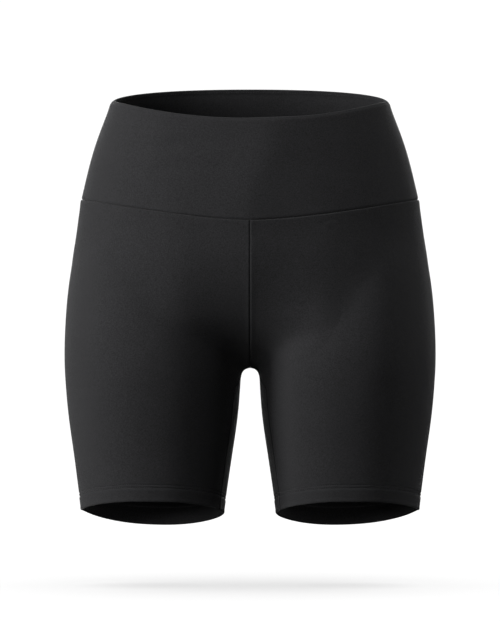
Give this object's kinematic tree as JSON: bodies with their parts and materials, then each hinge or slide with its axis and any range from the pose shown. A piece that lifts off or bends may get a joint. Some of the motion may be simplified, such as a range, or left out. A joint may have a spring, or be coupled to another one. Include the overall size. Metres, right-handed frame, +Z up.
{
  "type": "high waist shorts",
  "caption": "Close-fitting high waist shorts in a plain dark stretch knit, with a wide doubled waistband, a shaped waist seam and short twin-stitched legs, filled out as if worn.",
  "frame": {"origin": "middle of the waist opening, at the level of its two sides", "axes": "+Z up through the waist opening, +X towards the wearer's left side, -Y towards the front"},
  "size_m": [0.3554, 0.2318, 0.4238],
  "materials": {
    "waistband_knit": "matt doubled stretch knit, charcoal black",
    "leg_knit": "matt stretch knit, charcoal black"
  },
  "bodies": {
    "root": {"waistband_front": "waistband_knit", "waistband_back": "waistband_knit", "leg_left": "leg_knit", "leg_right": "leg_knit"}
  },
  "joints": []
}
